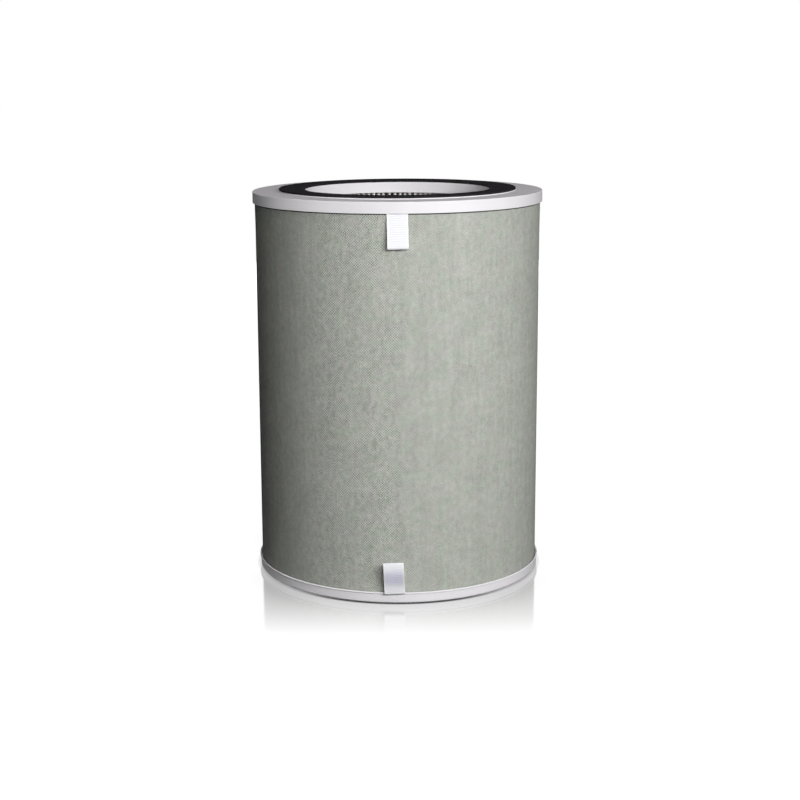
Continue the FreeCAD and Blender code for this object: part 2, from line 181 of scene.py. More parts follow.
def moulded_plastic(name, pale, deep):
    """White satin mouldings: faint flow clouding, a spark-eroded grain and rubbed spots.

    Faces that look up get a painted shade, a grey blended into the colour, and more roughness.
    """
    finish = Finish(name)
    place = finish.place()
    flow = finish.cloud(place, 22.0, 3.0)
    grain = finish.cloud(place, 2600.0, 2.0)
    rubbed = finish.ramp(finish.cloud(place, 70.0, 4.0), 0.52, 0.72)
    normal = finish.node("ShaderNodeNewGeometry", {}, {}, "Normal")
    upward = finish.node("ShaderNodeSeparateXYZ", {}, {"Vector": normal}, "Z")
    # Painted shade: the faces that look up are blended towards grey (0.52, 0.515, 0.53) and made
    # rougher.
    painted_top_shade = finish.ramp(upward, 0.7, 1.0) * (0.75 + 0.5 * flow)
    clean = finish.blend(finish.ramp(flow, 0.35, 0.65), pale, deep)
    finish.set(
        Base_Color=finish.blend(0.45 * painted_top_shade, clean, (0.52, 0.515, 0.53)),
        Roughness=0.40 + 0.10 * grain - 0.08 * rubbed + 0.30 * painted_top_shade,
        IOR=1.49,
    )
    finish.relief(grain + 0.6 * flow, 0.00003, 0.5)
    return finish


def turned(outline):
    """A closed shape turned about Z from its half section of (radius, height, rounding)."""
    shape = bmesh.new()
    corners = [shape.verts.new((radius, 0, height)) for radius, height, _ in outline]
    shape.faces.new(corners)
    for corner, (_, _, rounding) in zip(corners, outline):
        if rounding:
            bmesh.ops.bevel(
                shape, geom=[corner], offset=rounding, offset_type="OFFSET",
                segments=4, profile=0.5, affect="VERTICES", material=-1,
            )
    bmesh.ops.delete(shape, geom=shape.faces[:], context="FACES_ONLY")
    axis = [e for e in shape.edges if all(v.co.x < 1e-7 for v in e.verts)]
    bmesh.ops.delete(shape, geom=axis, context="EDGES")
    bmesh.ops.spin(
        shape, geom=shape.verts[:] + shape.edges[:], cent=(0, 0, 0), axis=(0, 0, 1),
        dvec=(0, 0, 0), angle=math.tau, space=Matrix.Identity(4), steps=ROUND_STEPS,
        use_merge=True, use_normal_flip=False, use_duplicate=False,
    )
    bmesh.ops.remove_doubles(shape, verts=shape.verts[:], dist=1e-7)
    bmesh.ops.recalc_face_normals(shape, faces=shape.faces[:])
    return shape


def new_piece(name, shape, finish):
    mesh = bpy.data.meshes.new(name)
    shape.to_mesh(mesh)
    shape.free()
    mesh.shade_smooth()
    mesh.materials.append(finish.material)
    piece = bpy.data.objects.new(name, mesh)
    bpy.context.scene.collection.objects.link(piece)
    return piece


def flatten_shading(piece):
    """Lets the flat faces of a moulding shade flat right up to their rounded edges."""
    shading = piece.modifiers.new("flat_faces", "WEIGHTED_NORMAL")
    shading.weight = 50
    shading.keep_sharp = True


foot_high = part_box("bottom_end_cap")[1]
CAP_RADIUS = foot_high.x
CAP_WALL = 1.5 * MM
CAP_WEB = 2.0 * MM
BORE_RADIUS = 87.5 * MM
COLLAR_WALL = 1.8 * MM
FOOT_RADIUS = CAP_RADIUS - 22 * MM
UNDERSIDE = 1.2 * MM
PANEL_UNDER = 5.0 * MM
HOLLOW_RADIUS = BORE_RADIUS + COLLAR_WALL - 4.0 * MM
BOSS_RADIUS = 12.0 * MM
RIBS = 8
RIB = 1.4 * MM
RIB_FOOT = UNDERSIDE + 0.8 * MM
SKIRT_RADIUS = CAP_RADIUS - 0.8 * MM
LIP_FOOT = foot_high.z - 1.4 * MM
LIP_SLOPE = 0.3 * MM
ROOT = 0.4 * MM
RIB_OVERLAP = 1.0 * MM

cap_plastic = moulded_plastic("cap_plastic", (0.868, 0.852, 0.872), (0.842, 0.828, 0.85))
dish = turned([
    (0, PANEL_UNDER, 0),
    (HOLLOW_RADIUS, PANEL_UNDER, 0.8 * MM),
    (HOLLOW_RADIUS, UNDERSIDE, 0.5 * MM),
    (FOOT_RADIUS, UNDERSIDE, 0.4 * MM),
    (FOOT_RADIUS, 0, 0.4 * MM),
    (SKIRT_RADIUS, 0, 1.7 * MM),
    (SKIRT_RADIUS, LIP_FOOT - LIP_SLOPE, 0.3 * MM),
    (CAP_RADIUS, LIP_FOOT, 0.3 * MM),
    (CAP_RADIUS, foot_high.z, 0.95 * MM),
    (CAP_RADIUS - CAP_WALL, foot_high.z, 0.35 * MM),
    (CAP_RADIUS - CAP_WALL, UNDERSIDE + CAP_WEB, 0.5 * MM),
    (BORE_RADIUS + COLLAR_WALL, UNDERSIDE + CAP_WEB, 0.5 * MM),
    (BORE_RADIUS + COLLAR_WALL, PANEL_UNDER + CAP_WEB, 0.6 * MM),
    (0, PANEL_UNDER + CAP_WEB, 0),
])
# The boss and its ribs are rooted a little way up in the panel that they stiffen.
rooted = PANEL_UNDER + ROOT
bmesh.ops.create_cone(
    dish, cap_ends=True, segments=48, radius1=BOSS_RADIUS - 0.3 * MM, radius2=BOSS_RADIUS,
    depth=rooted - RIB_FOOT, matrix=Matrix.Translation((0, 0, (rooted + RIB_FOOT) / 2)),
)
rib_length = HOLLOW_RADIUS + RIB_OVERLAP - BOSS_RADIUS / 2
for number in range(RIBS):
    turn = Matrix.Rotation(math.tau * number / RIBS, 4, "Z")
    place = Matrix.Translation((
        BOSS_RADIUS / 2 + rib_length / 2, 0, (rooted + RIB_FOOT) / 2
    ))
    size = Matrix.Diagonal((rib_length, RIB, rooted - RIB_FOOT, 1))
    rib = bmesh.ops.create_cube(dish, size=1, matrix=turn @ place @ size)
    foot_edges = {
        edge for vert in rib["verts"] for edge in vert.link_edges
        if all(end.co.z < RIB_FOOT + 0.1 * MM for end in edge.verts)
    }
    bmesh.ops.bevel(
        dish, geom=list(foot_edges), offset=0.3 * MM, offset_type="OFFSET", segments=2,
        profile=0.5, affect="EDGES", material=-1,
    )
bottom_cap = new_piece("bottom_cap_moulding", dish, cap_plastic)
flatten_shading(bottom_cap)
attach(bottom_cap, "cartridge")
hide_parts("bottom_end_cap")

# --- Hot-melt in the caps -------------------------------------------------------------
# Both caps are filled with a layer of hot-melt before the pack is pressed in. It is a
# milky, slightly rubbery adhesive that seals the ends of the paper, sleeve and wrap.


def hot_melt(name):
    finish = Finish(name)
    place = finish.place()
    flow = finish.cloud(place, 90.0, 3.0)
    finish.set(
        Base_Color=finish.blend(flow, (0.86, 0.82, 0.70), (0.80, 0.74, 0.58)),
        Roughness=0.24 + 0.20 * flow,
        IOR=1.48,
    )
    finish.relief(flow, 0.0004, 0.6)
    return finish


def refinish(finish, *nodes):
    """Gives CAD nodes whose shape is right their proper finish."""
    for name in nodes:
        for slot in frame["nodes"][name].material_slots:
            slot.material = finish.material


adhesive = hot_melt("hot_melt")
refinish(adhesive, "top_potting", "bottom_potting")

# --- Pleated filter paper -------------------------------------------------------------
# One long strip of stiff white fibre media, folded to and fro and closed to a ring. The
# folds are rounded, and a folding machine never leaves two of them quite alike.

PLEATS = 110
PAPER = 0.6 * MM


def filter_paper():
    finish = Finish("filter_media")
    place = finish.place()
    fibres = finish.cloud(finish.stretched(place, (1.0, 1.0, 0.35)), 1500.0, 3.0, 0.7)
    patches = finish.cloud(place, 45.0, 3.0)
    finish.set(
        Base_Color=finish.blend(
            0.5 * fibres + 0.5 * patches, (0.80, 0.77, 0.73), (0.90, 0.885, 0.86)
        ),
        Roughness=0.88 + 0.08 * fibres,
        Sheen_Weight=0.15,
        Sheen_Roughness=0.6,
    )
    finish.relief(fibres, 0.00012, 0.7)
    return finish


pack_low, pack_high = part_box("pleat_pack")
PACK_OUTER = 129.0 * MM
PACK_INNER = 91.2 * MM
PITCH = math.tau / PLEATS
INNER_FOLD = 1.2 * MM
OUTER_FOLD = 1.5 * MM
LEVELS = 5
SWAY = 0.010
STAND_OUT = 0.004

pack = bmesh.new()
# Half of one pleat in plan, from the middle of an inner fold to the middle of an outer one.
inner_middle = PACK_INNER + PAPER / 2
outer_middle = PACK_OUTER - PAPER / 2
folds = []
for turn in (0, 30, 60, 90):
    lean = math.radians(turn)
    folds.append((
        inner_middle + INNER_FOLD * (1 - math.cos(lean)),
        (INNER_FOLD - PAPER / 2) * math.sin(lean) / inner_middle,
    ))
for turn in (90, 60, 30, 0):
    lean = math.radians(turn)
    folds.append((
        outer_middle - OUTER_FOLD * (1 - math.cos(lean)),
        PITCH / 2 - (OUTER_FOLD - PAPER / 2) * math.sin(lean) / outer_middle,
    ))
line = [
    pack.verts.new((r * math.cos(a), r * math.sin(a), pack_low.z)) for r, a in folds
]
for start, end in zip(line, line[1:]):
    pack.edges.new((start, end))
mirrored = bmesh.ops.duplicate(pack, geom=pack.verts[:] + pack.edges[:])["geom"]
bmesh.ops.scale(
    pack, vec=(1, -1, 1), verts=[g for g in mirrored if isinstance(g, bmesh.types.BMVert)]
)
bmesh.ops.remove_doubles(pack, verts=pack.verts[:], dist=1e-6)
one_pleat = pack.verts[:] + pack.edges[:]
bmesh.ops.spin(
    pack, geom=one_pleat, cent=(0, 0, 0), axis=(0, 0, 1), dvec=(0, 0, 0),
    angle=math.tau * (PLEATS - 1) / PLEATS, space=Matrix.Identity(4), steps=PLEATS - 1,
    use_merge=False, use_normal_flip=False, use_duplicate=True,
)
bmesh.ops.remove_doubles(pack, verts=pack.verts[:], dist=0.02 * MM)
rise = (pack_high.z - pack_low.z) / LEVELS
for level in range(LEVELS):
    above = pack_low.z + (level - 0.5) * rise
    rim = [e for e in pack.edges if all(v.co.z > above for v in e.verts)]
    raised = bmesh.ops.extrude_edge_only(pack, edges=rim)["geom"]
    bmesh.ops.translate(
        pack, vec=(0, 0, rise),
        verts=[g for g in raised if isinstance(g, bmesh.types.BMVert)],
    )
for vert in pack.verts:
    around = math.atan2(vert.co.y, vert.co.x)
    fold = round(around / PITCH)
    sway = noise.noise(Vector((fold * 3.7, vert.co.z * 9.0, 1.5)))
    out = noise.noise(Vector((fold * 5.1, vert.co.z * 6.0, 8.5)))
    tip = 1 - (vert.co.xy.length - PACK_INNER) / (PACK_OUTER - PACK_INNER)
    vert.co.rotate(Matrix.Rotation(SWAY * sway * tip, 3, "Z"))
    vert.co.xy *= 1 + STAND_OUT * max(0.0, out) * tip
bmesh.ops.recalc_face_normals(pack, faces=pack.faces[:])
pleats = new_piece("pleated_media", pack, filter_paper())
thickness = pleats.modifiers.new("paper", "SOLIDIFY")
thickness.thickness = PAPER
thickness.offset = 0
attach(pleats, "cartridge")
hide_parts("pleat_pack")

# --- Seams and hoops of hot-melt ------------------------------------------------------
# The first and last pleat are joined by a seam of hot-melt, and three hoops of it run
# round the outer folds to keep the pleats evenly spaced.

refinish(
    adhesive, "pleat_seam_bead", "tip_bead_1", "tip_bead_2", "tip_bead_3",
    "sleeve_seam_bead", "top_tab_glue", "bottom_tab_glue",
)

# --- Carbon sleeve --------------------------------------------------------------------
# A loose fleece with granules of activated carbon, rolled once round the pack and butted
# together at the back.

BACK = math.pi / 2
SLEEVE = 4.0 * MM
SLEEVE_SLIT = 1.0 * MM
CLIMB_FROM = -7 * MM
CLIMB = 6 * MM


def rolled(name, low, high, radius, gap, lap, step, rows, columns, finish):
    """A flat sheet rolled round Z from the back and round to the back again.

    It starts gap / 2 - lap / 2 past the back line and laps over itself by lap. From just
    before the lap it climbs by step, so that it lies on its own first edge.
    """
    around = math.tau * radius - gap + lap
    sheet = bmesh.new()
    cut = sheet.loops.layers.uv.new("cut")
    bmesh.ops.create_grid(
        sheet, x_segments=columns, y_segments=rows, size=0.5, matrix=Matrix.Identity(4)
    )
    for face in sheet.faces:
        for loop in face.loops:
            flat_u = (loop.vert.co.x + 0.5) * around
            flat_v = (loop.vert.co.y + 0.5) * (high - low)
            loop[cut].uv = (flat_u, flat_v)
    for vert in sheet.verts:
        run = (vert.co.x + 0.5) * around
        height = low + (vert.co.y + 0.5) * (high - low)
        climb = min(max((run - math.tau * radius - CLIMB_FROM) / CLIMB, 0.0), 1.0)
        out = radius + step * climb * climb * (3 - 2 * climb)
        turn = BACK + (run + gap / 2 - lap / 2) / radius
        vert.co = (out * math.cos(turn), out * math.sin(turn), height)
    bmesh.ops.recalc_face_normals(sheet, faces=sheet.faces[:])
    return new_piece(name, sheet, finish)


def carbon_fleece():
    finish = Finish("carbon_fleece")
    place = finish.place()
    grains = finish.node(
        "ShaderNodeTexVoronoi", {"feature": "F1"}, {"Vector": place, "Scale": 900.0}
    )
    fibres = finish.cloud(place, 1800.0, 3.0, 0.7)
    finish.set(
        Base_Color=finish.blend(
            finish.ramp(grains, 0.2, 0.6), (0.020, 0.020, 0.022), (0.075, 0.074, 0.072)
        ),
        Roughness=0.62 + 0.3 * fibres,
    )
    finish.relief(0.7 * grains + 0.5 * fibres, 0.0006, 0.8)
    return finish


sleeve_low, sleeve_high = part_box("carbon_sleeve")
sleeve = rolled(
    "carbon_fleece_sleeve", sleeve_low.z, sleeve_high.z, sleeve_high.x - SLEEVE / 2,
    SLEEVE_SLIT, 0, 0, 8, 192, carbon_fleece(),
)
thickness = sleeve.modifiers.new("fleece", "SOLIDIFY")
thickness.thickness = SLEEVE
thickness.offset = 0
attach(sleeve, "cartridge")
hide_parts("carbon_sleeve")

# --- Outer wrap -----------------------------------------------------------------------
# Grey-green spunbond fabric that catches hair and lint. It is cut to one rectangle, point
# bonded in a fine diamond pattern, rolled round the sleeve and lapped at the back.

WRAP = 0.4 * MM
LAP = 16.0 * MM
BOND_PITCH = 2.4 * MM
FIRM_BAND = 391 * MM
FIRM_INNER = 18 * MM
FIRM_OUTER = 64 * MM
RIM_SHADOW_FROM = 348.0 * MM
WELD_INSET = 5 * MM
DASH_PITCH = 5.0 * MM


def spunbond(weld_line):
    """Felted fibres with small bonded diamonds, and a row of weld dashes up the lap.

    The bonds are firmest along the middle of the web, about FIRM_BAND from its edge, and
    the upper edge is painted dark, a painted shadow under the rim of the top cap.
    """
    finish = Finish("wrap_fabric")
    cut, across, up = finish.on_cloth()
    waves = math.tau / BOND_PITCH
    bonds = (across * waves).cosine() * (up * waves).cosine()
    pressed = finish.ramp(finish.cloud(cut, 55.0, 3.0, 0.6), 0.38, 0.58)
    middle = 1 - finish.ramp(abs(across - FIRM_BAND), FIRM_INNER, FIRM_OUTER)
    fibres = finish.cloud(finish.stretched(cut, (1.0, 0.6, 1.0)), 1100.0, 2.0, 0.6)
    felt = finish.cloud(finish.stretched(cut, (1.0, 0.7, 1.0)), 235.0, 2.0, 0.6)
    clouds = finish.cloud(cut, 42.0, 2.0)
    wavering = finish.node(
        "ShaderNodeVectorMath", {"operation": "ADD"},
        {0: finish.stretched(cut, (1.0, 0.06, 1.0)),
         1: finish.node(
             "ShaderNodeVectorMath", {"operation": "SCALE"},
             {0: finish.node(
                 "ShaderNodeTexNoise", {"noise_dimensions": "3D"},
                 {"Vector": cut, "Scale": 30.0, "Detail": 1.0}, "Color",
             ), "Scale": 0.004},
         )},
    )
    drawn = finish.cloud(wavering, 260.0, 1.0)
    tone = (
        0.5
        + (0.04 + (0.12 + 0.42 * middle) * pressed) * bonds
        + (0.78 + 0.67 * middle) * (fibres - 0.5)
        + (0.49 + 0.29 * middle) * (felt - 0.5)
        + 0.26 * (clouds - 0.5)
        + 0.20 * (drawn - 0.5)
    )
    web = finish.blend(tone, (0.228, 0.238, 0.214), (0.680, 0.700, 0.640))
    hue = finish.ramp(finish.cloud(cut, 75.0, 3.0, 0.6), 0.35, 0.65)
    tinted = finish.node(
        "ShaderNodeMix", {"data_type": "RGBA", "blend_type": "MULTIPLY"},
        {0: 1.0, 6: web, 7: finish.blend(hue, (1.0, 0.975, 0.995), (0.960, 1.0, 0.960))}, 2,
    )
    dash = finish.ramp((up * (math.tau / DASH_PITCH)).cosine(), -0.35, 0.0)
    weld = dash * (1 - finish.ramp(abs(across - weld_line), 0.5 * MM, 0.9 * MM))
    welded = finish.blend(0.55 * weld, tinted, (0.21, 0.22, 0.20))
    # Painted shadow: the cloth is painted dark from just under the top cap's rim upwards.
    painted_rim_shadow = finish.ramp(up, RIM_SHADOW_FROM, RIM_SHADOW_FROM + 0.5 * MM)
    finish.set(
        Base_Color=finish.blend(painted_rim_shadow, welded, (0.085, 0.088, 0.080)),
        Roughness=0.88 + 0.1 * fibres - 0.3 * weld,
        Specular_IOR_Level=0.05,
    )
    finish.relief(
        0.5 * fibres + (0.2 + 0.5 * pressed) * bonds + 0.3 * drawn - 3.0 * weld, 0.00014, 0.8
    )
    return finish


wrap_low, wrap_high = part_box("outer_wrap")
WRAP_OUTER = wrap_high.x
WRAP_MIDDLE = WRAP_OUTER - WRAP / 2
lap_edge = math.tau * WRAP_MIDDLE + LAP
wrap = rolled(
    "outer_wrap_fabric", wrap_low.z, wrap_high.z, WRAP_MIDDLE, 0, LAP, WRAP,
    70, 300, spunbond(lap_edge - WELD_INSET),
)
# The wrap springs out a little under the edge of the top cap, save where the ribbon is.
FLARE = 0.4 * MM
FLARE_HEIGHT = 34 * MM
FLARE_FROM = math.radians(6)
FLARE_FADE = math.radians(9)
for vert in wrap.data.vertices:
    off_front = abs(math.atan2(vert.co.x, -vert.co.y))
    beside = min(max((off_front - FLARE_FROM) / FLARE_FADE, 0.0), 1.0)
    under = min(max(1 - (wrap_high.z - vert.co.z) / FLARE_HEIGHT, 0.0), 1.0)
    vert.co.xy *= 1 + FLARE * beside * under * under * (3 - 2 * under) / WRAP_OUTER
thickness = wrap.modifiers.new("cloth", "SOLIDIFY")
thickness.thickness = WRAP
thickness.offset = 0
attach(wrap, "cartridge")
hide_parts("outer_wrap")

# --- Pull ribbons ---------------------------------------------------------------------
# Woven white polyester ribbon, 19 mm wide, doubled to a loop. Both ends are tucked
# between the wrap and the wall of a cap, with a dab of hot-melt, and the loop hangs free.

RIBBON_WIDTH = 19.0 * MM
RIBBON = 0.35 * MM
RIB_PITCH = 2.0 * MM
WEFT_PITCH = 0.5 * MM
WARP_PITCH = 0.45 * MM
EDGE_FROM = RIBBON_WIDTH / 2 - 2.2 * MM
EDGE_TO = RIBBON_WIDTH / 2 - 1.4 * MM
SHADE_FADE = 9 * MM


def woven_ribbon(name, shade_from, shade_to):
    """Fine warp, a faint rib at every fourth pick of the weft, and plain firm edges.

    The hollow of the loop, between the two given lengths along the ribbon, is painted
    darker and bluer, a painted shade.
    """
    finish = Finish(name)
    cut, across, along = finish.on_cloth()
    edge = finish.ramp(abs(across - RIBBON_WIDTH / 2), EDGE_FROM, EDGE_TO)
    rib = (along * (math.tau / RIB_PITCH)).cosine()
    weft = (along * (math.tau / WEFT_PITCH)).cosine()
    warp = (across * (math.tau / WARP_PITCH)).cosine()
    yarn = finish.cloud(finish.stretched(cut, (1.0, 0.25, 1.0)), 2400.0, 2.0)
    soil = finish.cloud(cut, 160.0, 2.0)
    tone = (
        0.5
        + 0.11 * (1 - edge) * rib
        + 0.6 * (yarn - 0.5)
        + 0.6 * (soil - 0.5)
        + 0.4 * edge
    )
    # Painted shade: the hollow of the loop is blended towards the darker, bluer (0.85, 0.855,
    # 1.0).
    entering = finish.ramp(along, shade_from, shade_from + SHADE_FADE)
    leaving = finish.ramp(along, shade_to - SHADE_FADE, shade_to)
    painted_hollow_shade = entering * (1 - leaving)
    white = finish.blend(tone, (0.885, 0.890, 0.950), (0.975, 0.978, 0.995))
    finish.set(
        Base_Color=finish.blend(painted_hollow_shade * (1 - 0.9 * edge), white, (0.85, 0.855, 1.0)),
        Roughness=0.45 + 0.2 * yarn,
        Sheen_Weight=0.2,
        Sheen_Roughness=0.35,
    )
    finish.relief(
        (1 - edge) * (0.65 * rib + 0.3 * weft) + 0.3 * warp + 0.6 * edge + 0.3 * yarn,
        0.00010, 0.8,
    )
    return finish


def folded_ribbon(name, steps, start, heading, centre, slant, finish):
    """A strip folded in the front plane of the cartridge.

    steps are (length, turn in degrees) in mm from start, which is (out, up) in metres.
    Out is towards the front, and heading is measured from straight out, upwards.
    """
    strip = bmesh.new()
    cut = strip.loops.layers.uv.new("cut")
    across = 6
    out, up = start
    first = [
        strip.verts.new((RIBBON_WIDTH * (i / across - 0.5), -out, up))
        for i in range(across + 1)
    ]
    line = [strip.edges.new(pair) for pair in zip(first, first[1:])]
    heights = {vert: 0.0 for vert in first}
    run = 0.0
    for length, turn in steps:
        heading += math.radians(turn)
        run += length * MM
        grown = bmesh.ops.extrude_edge_only(strip, edges=line)["geom"]
        line = [g for g in grown if isinstance(g, bmesh.types.BMEdge)]
        moved = [g for g in grown if isinstance(g, bmesh.types.BMVert)]
        bmesh.ops.translate(
            strip, verts=moved,
            vec=(0, -length * MM * math.cos(heading), length * MM * math.sin(heading)),
        )
        heights.update((vert, run) for vert in moved)
    for face in strip.faces:
        for loop in face.loops:
            loop[cut].uv = (loop.vert.co.x + RIBBON_WIDTH / 2, heights[loop.vert])
    hinge = Vector((0, -out, up))
    bmesh.ops.rotate(
        strip, verts=strip.verts[:], cent=hinge, matrix=Matrix.Rotation(slant, 3, "Y")
    )
    bmesh.ops.translate(strip, verts=strip.verts[:], vec=(centre, 0, 0))
    bmesh.ops.recalc_face_normals(strip, faces=strip.faces[:])
    ribbon = new_piece(name, strip, finish)
    thickness = ribbon.modifiers.new("weave", "SOLIDIFY")
    thickness.thickness = RIBBON
    thickness.offset = 0
    smooth = ribbon.modifiers.new("soft_bends", "SUBSURF")
    smooth.levels = 2
    smooth.render_levels = 2
    return ribbon, run


tail_low, tail_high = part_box("top_tab_tail")
TUCK = -tail_low.y - 0.2 * MM
TOP_STEPS = [
    (2.0, 0), (2.0, 0), (1.5, 7), (1.5, 6), (3.0, 0), (5.0, 0), (5.0, -1), (5.0, -1),
    (5.0, 0), (4.1, 0), (1.3, -24), (1.0, -46), (1.0, -46), (1.0, -46), (1.3, -21),
    (4.0, 0), (5.0, 0), (5.0, 1), (5.0, 1), (5.0, 1), (3.0, 1), (1.5, 0), (2.0, -2),
    (2.0, -1),
]
top_ribbon, top_length = folded_ribbon(
    "top_ribbon", TOP_STEPS, (TUCK, tail_high.z - 0.9 * MM), math.radians(-90), 0,
    math.radians(-1.0), woven_ribbon("ribbon", -1.0, -0.9),
)
top_hinge = next(j for j in frame["joints"] if j["name"] == "top_tab_flap")
top_hinge["pos_m"][2] + 0.6 * MM
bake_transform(top_ribbon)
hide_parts("top_tab_tail", "top_pull_tab")

foot_tab_low, foot_tab_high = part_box("bottom_pull_tab")
BOTTOM_STEPS = [
    (2.0, 0), (1.6, 0), (0.8, -35), (0.8, -45), (0.9, -35), (0.9, -25), (0.8, 0), (0.7, 40),
    (0.7, 45), (0.8, 42), (3.4, 10), (3.6, -6), (4.2, -9), (4.6, -7), (4.4, 4), (3.8, 10),
    (3.4, 12), (2.6, 8), (1.2, 22), (1.0, 45), (1.0, 45), (1.0, 45), (1.2, 20),
    (3.0, -8), (4.0, -8), (4.0, -8), (4.2, -4), (4.2, 0), (3.8, 6), (3.4, 8), (2.0, 4),
    (2.0, 0),
]
bottom_ribbon, bottom_length = folded_ribbon(
    "bottom_ribbon", BOTTOM_STEPS, (TUCK, 7.0 * MM), math.radians(90),
    (foot_tab_low.x + foot_tab_high.x) / 2 - 0.5 * MM, math.radians(-2.0),
    woven_ribbon("hollow_ribbon", 14 * MM, 38 * MM),
)
bottom_hinge = next(j for j in frame["joints"] if j["name"] == "bottom_tab_flap")
bottom_hinge["pos_m"][2] - 0.6 * MM
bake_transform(bottom_ribbon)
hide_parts("bottom_tab_tail", "bottom_pull_tab")

# --- Top end cap ----------------------------------------------------------------------
# The same moulding stock as the bottom cap, open in the middle. A raised flat ring takes
# the gasket, and a collar goes down into the pack round the air outlet.

top_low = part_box("top_end_cap")[0]
tape_low, tape_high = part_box("gasket_tape")
SEAT_MARGIN = 0.3 * MM
SEAT_RISE = 0.8 * MM
COLLAR_DEPTH = 10.8 * MM
SEAT_RADIUS = tape_high.x + SEAT_MARGIN
SEAT_TOP = tape_low.z
WEB_TOP = SEAT_TOP - SEAT_RISE
COLLAR_FOOT = SEAT_TOP - COLLAR_DEPTH
top_cap = new_piece(
    "top_cap_moulding",
    turned([
        (BORE_RADIUS, COLLAR_FOOT, 0.4 * MM),
        (BORE_RADIUS + COLLAR_WALL, COLLAR_FOOT, 0.4 * MM),
        (BORE_RADIUS + COLLAR_WALL, WEB_TOP - CAP_WEB, 0.5 * MM),
        (CAP_RADIUS - CAP_WALL, WEB_TOP - CAP_WEB, 0.5 * MM),
        (CAP_RADIUS - CAP_WALL, top_low.z, 0.35 * MM),
        (CAP_RADIUS, top_low.z, 0.35 * MM),
        (CAP_RADIUS, WEB_TOP, 0.6 * MM),
        (SEAT_RADIUS, WEB_TOP, 0.12 * MM),
        (SEAT_RADIUS, SEAT_TOP, 0.18 * MM),
        (BORE_RADIUS, SEAT_TOP, 0.5 * MM),
    ]),
    cap_plastic,
)
flatten_shading(top_cap)
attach(top_cap, "cartridge")
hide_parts("top_end_cap")

# --- Gasket and its tape --------------------------------------------------------------
# A die-cut ring of black closed-cell foam, stuck to the raised ring with double-sided
# tape. The cut edges are a little rounded and pinched over the tape's, and the skin shows
# fine cells.


def gasket_tape():
    finish = Finish("adhesive_tape")
    fibres = finish.cloud(finish.place(), 1400.0, 2.0)
    finish.set(
        Base_Color=finish.blend(fibres, (0.80, 0.78, 0.71), (0.86, 0.84, 0.78)),
        Roughness=0.45 + 0.2 * fibres,
    )
    return finish


def closed_cell_foam():
    finish = Finish("gasket_foam")
    place = finish.place()
    cells = finish.node(
        "ShaderNodeTexVoronoi", {"feature": "F1"}, {"Vector": place, "Scale": 1500.0}
    )
    skin = finish.cloud(place, 60.0, 3.0)
    finish.set(
        Base_Color=finish.blend(
            finish.ramp(cells, 0.1, 0.5), (0.012, 0.0115, 0.0125), (0.027, 0.0255, 0.029)
        ),
        Roughness=0.78 + 0.15 * skin,
        Specular_IOR_Level=0.01,
    )
    finish.relief(cells, 0.00015, 0.5)
    return finish


refinish(gasket_tape(), "gasket_tape")
foam_low, foam_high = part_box("top_gasket")
FOAM_INNER = BORE_RADIUS + 0.3 * MM
LIP_INNER = BORE_RADIUS + 0.02 * MM
FOAM_OUTER = foam_high.x + 0.1 * MM
FOAM_SKIRT = tape_low.z + 0.03 * MM
FOAM_TOP = foam_high.z + 0.3 * MM
CUT_WIDTH = 4.6 * MM
CUT_DROP = 1.0 * MM
lip_foot = SEAT_TOP - 0.25 * MM
ring = turned([
    (LIP_INNER, lip_foot, 0),
    (FOAM_INNER, lip_foot, 0),
    (FOAM_INNER, foam_low.z, 0),
    (foam_high.x, foam_low.z, 0),
    (foam_high.x, FOAM_SKIRT, 0),
    (FOAM_OUTER, FOAM_SKIRT, 0),
    (FOAM_OUTER, FOAM_TOP, 0.25 * MM),
    (FOAM_INNER + CUT_WIDTH, FOAM_TOP, 0.1 * MM),
    (LIP_INNER, FOAM_TOP - CUT_DROP, 0.3 * MM),
])
gasket = new_piece("foam_gasket", ring, closed_cell_foam())
flatten_shading(gasket)
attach(gasket, "cartridge")
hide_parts("top_gasket")

# --- Studio ---------------------------------------------------------------------------
# A white polished floor that mirrors the foot, a white backdrop all round and a dim room.
# One broad soft lamp stands at the front right, one behind and one overhead, and a bright
# card at the left shows only as a reflection.

LAMP_AIM = 180 * MM
CONTACT_INNER = 137.8 * MM
CONTACT_OUTER = 141.6 * MM
FOOT_SHADE_INNER = 140 * MM
FOOT_SHADE_OUTER = 175 * MM
POLISH_INNER = 60 * MM
POLISH_OUTER = 225 * MM
MIRROR = 0.70

bpy.ops.mesh.primitive_plane_add(size=30)
floor = bpy.context.object
floor.name = "studio_floor"
floor_finish = Finish("floor_paper")
seen = floor_finish.node("ShaderNodeLightPath", {}, {}, "Is Camera Ray")
mirrored = floor_finish.node("ShaderNodeLightPath", {}, {}, "Is Glossy Ray")
spot = floor_finish.place()
from_axis = floor_finish.node(
    "ShaderNodeVectorMath", {"operation": "LENGTH"}, {0: spot}, "Value"
)
sideways = floor_finish.node("ShaderNodeSeparateXYZ", {}, {"Vector": spot}, "X")
forwards = floor_finish.node("ShaderNodeSeparateXYZ", {}, {"Vector": spot}, "Y")
